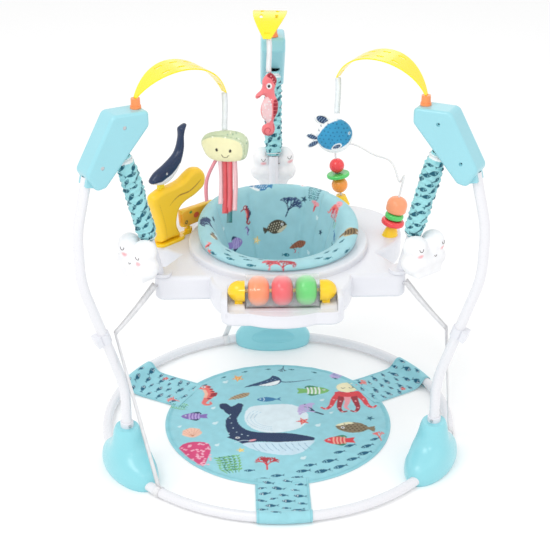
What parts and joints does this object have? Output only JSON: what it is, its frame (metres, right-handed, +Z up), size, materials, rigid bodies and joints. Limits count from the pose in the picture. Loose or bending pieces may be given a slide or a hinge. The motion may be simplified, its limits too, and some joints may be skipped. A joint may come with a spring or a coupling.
{
  "type": "baby activity jumper",
  "caption": "Free-standing baby jumper: floor ring, curved legs and spring towers carry a lobed toy tray with a turning fabric seat, hanging plush sea toys and a play mat.",
  "frame": {"origin": "centre of the floor ring, on the floor, which is the underside of the play mat", "axes": "+Z up, -Y toward the front of the tray where the bead drum is, +X to the right seen from the front"},
  "size_m": [0.846, 0.9003, 0.9294],
  "materials": {
    "white_tube": "smooth white powder coat",
    "steel": "plain zinc",
    "turquoise_plastic": "satin moulded",
    "aqua_plastic": "satin moulded",
    "white_plastic": "satin moulded",
    "yellow_plastic": "glossy moulded",
    "orange_plastic": "glossy moulded",
    "clear_plastic": "clear moulded",
    "orange_bead": "glossy moulded",
    "red_bead": "glossy moulded",
    "green_bead": "glossy moulded",
    "bun_plastic": "satin moulded",
    "wire": "white coated",
    "print_fabric": "printed woven polyester",
    "white_fabric": "soft short plush",
    "webbing": "woven polyester tape",
    "navy_plastic": "satin moulded",
    "cream_plush": "soft plush",
    "blue_plush": "printed plush",
    "pink_plush": "printed plush"
  },
  "bodies": {
    "frame": {"base_tube_front": "white_tube", "base_tube_right": "white_tube", "base_tube_left": "white_tube", "foot_back": "turquoise_plastic", "foot_left": "turquoise_plastic", "foot_right": "turquoise_plastic", "lower_leg_back": "white_tube", "lower_leg_left": "white_tube", "lower_leg_right": "white_tube", "upper_leg_back": "white_tube", "upper_leg_left": "white_tube", "upper_leg_right": "white_tube", "strap_clips": "white_plastic", "leg_brackets": "white_plastic", "frame_screws": "steel", "tower_back_shell_a": "aqua_plastic", "tower_back_shell_b": "aqua_plastic", "tower_left_shell_a": "aqua_plastic", "tower_left_shell_b": "aqua_plastic", "tower_right_shell_a": "aqua_plastic", "tower_right_shell_b": "aqua_plastic", "ferrules": "orange_plastic", "crescent_back": "yellow_plastic", "crescent_left": "yellow_plastic", "crescent_right": "yellow_plastic", "springs": "steel", "gaiters": "print_fabric", "play_mat": "print_fabric", "tethers": "webbing"},
    "tray": {"tray_top": "white_plastic", "tray_base": "white_plastic", "spring_anchors": "white_plastic", "cloud_back": "white_fabric", "cloud_left": "white_fabric", "cloud_right": "white_fabric", "drum_caps": "yellow_plastic", "bead_wire": "wire", "wire_sockets": "yellow_plastic", "toy_stand": "yellow_plastic", "banana": "yellow_plastic"},
    "seat": {"seat_ring": "white_plastic", "seat_bucket": "print_fabric"},
    "drum": {"drum": "clear_plastic"},
    "drum_bead_orange": {"drum_bead_orange": "orange_bead"},
    "drum_bead_red": {"drum_bead_red": "red_bead"},
    "drum_bead_green": {"drum_bead_green": "green_bead"},
    "maze_ball": {"maze_ball": "orange_bead"},
    "maze_disc": {"maze_disc": "green_bead"},
    "maze_apple": {"maze_apple": "red_bead"},
    "burger_tomato": {"burger_tomato": "red_bead"},
    "burger_lettuce": {"burger_lettuce": "green_bead"},
    "burger_bun": {"burger_bun": "bun_plastic"},
    "pizza_slice": {"pizza_slice": "yellow_plastic"},
    "whale": {"whale": "navy_plastic"},
    "ribbon_left": {"ribbon_left": "webbing"},
    "ribbon_right": {"ribbon_right": "webbing"},
    "ribbon_back": {"ribbon_back": "webbing"},
    "jellyfish": {"jellyfish": "cream_plush"},
    "puffer_fish": {"puffer_fish": "blue_plush"},
    "seahorse": {"seahorse": "pink_plush"}
  },
  "joints": [
    {"name": "tray_bounce", "type": "slide", "parent": "frame", "child": "tray", "axis": [0, 0, 1], "range_m": [-0.07, 0.01], "stiffness_N_per_m": 1200, "springref_m": 0.053, "deforming": ["springs", "gaiters", "tethers"]},
    {"name": "seat_swivel", "type": "hinge", "parent": "tray", "child": "seat", "pos_m": [0, 0, 0.46], "axis": [0, 0, 1], "continuous": true},
    {"name": "drum_spin", "type": "hinge", "parent": "tray", "child": "drum", "pos_m": [0, -0.241, 0.467], "axis": [1, 0, 0], "continuous": true},
    {"name": "drum_bead_orange_spin", "type": "hinge", "parent": "tray", "child": "drum_bead_orange", "pos_m": [0, -0.241, 0.467], "axis": [1, 0, 0], "continuous": true},
    {"name": "drum_bead_red_spin", "type": "hinge", "parent": "tray", "child": "drum_bead_red", "pos_m": [0, -0.241, 0.467], "axis": [1, 0, 0], "continuous": true},
    {"name": "drum_bead_green_spin", "type": "hinge", "parent": "tray", "child": "drum_bead_green", "pos_m": [0, -0.241, 0.467], "axis": [1, 0, 0], "continuous": true},
    {"name": "maze_ball_spin", "type": "hinge", "parent": "tray", "child": "maze_ball", "pos_m": [0.16, 0.224, 0.464], "axis": [-0.1512, 0.0534, 0.9871], "continuous": true},
    {"name": "maze_disc_spin", "type": "hinge", "parent": "tray", "child": "maze_disc", "pos_m": [0.16, 0.224, 0.464], "axis": [-0.1512, 0.0534, 0.9871], "continuous": true},
    {"name": "maze_apple_spin", "type": "hinge", "parent": "tray", "child": "maze_apple", "pos_m": [0.16, 0.224, 0.464], "axis": [-0.1512, 0.0534, 0.9871], "continuous": true},
    {"name": "burger_tomato_spin", "type": "hinge", "parent": "tray", "child": "burger_tomato", "pos_m": [0.253, 0.041, 0.464], "axis": [0.1918, 0, 0.9814], "continuous": true},
    {"name": "burger_lettuce_spin", "type": "hinge", "parent": "tray", "child": "burger_lettuce", "pos_m": [0.253, 0.041, 0.464], "axis": [0.1918, 0, 0.9814], "continuous": true},
    {"name": "burger_bun_spin", "type": "hinge", "parent": "tray", "child": "burger_bun", "pos_m": [0.253, 0.041, 0.464], "axis": [0.1918, 0, 0.9814], "continuous": true},
    {"name": "pizza_swivel", "type": "hinge", "parent": "tray", "child": "pizza_slice", "pos_m": [-0.2005, 0.0695, 0.48], "axis": [0, 0, 1], "range_deg": [0, 60]},
    {"name": "whale_rock", "type": "hinge", "parent": "tray", "child": "whale", "pos_m": [-0.25566, 0.01434, 0.613], "axis": [0.7071, -0.7071, 0], "range_deg": [-6, 6]},
    {"name": "ribbon_left_swing", "type": "hinge", "parent": "frame", "child": "ribbon_left", "pos_m": [-0.113, -0.065, 0.835], "axis": [1, 0, 0], "range_deg": [-20, 20]},
    {"name": "jellyfish_swing", "type": "hinge", "parent": "ribbon_left", "child": "jellyfish", "pos_m": [-0.113, -0.065, 0.754], "axis": [1, 0, 0], "range_deg": [-20, 20]},
    {"name": "ribbon_right_swing", "type": "hinge", "parent": "frame", "child": "ribbon_right", "pos_m": [0.12, -0.069, 0.866], "axis": [1, 0, 0], "range_deg": [-20, 20]},
    {"name": "puffer_fish_swing", "type": "hinge", "parent": "ribbon_right", "child": "puffer_fish", "pos_m": [0.12, -0.069, 0.789], "axis": [1, 0, 0], "range_deg": [-20, 20]},
    {"name": "ribbon_back_swing", "type": "hinge", "parent": "frame", "child": "ribbon_back", "pos_m": [-0.015, 0.152, 0.886], "axis": [1, 0, 0], "range_deg": [-20, 20]},
    {"name": "seahorse_swing", "type": "hinge", "parent": "ribbon_back", "child": "seahorse", "pos_m": [-0.015, 0.152, 0.809], "axis": [1, 0, 0], "range_deg": [-20, 20]}
  ]
}
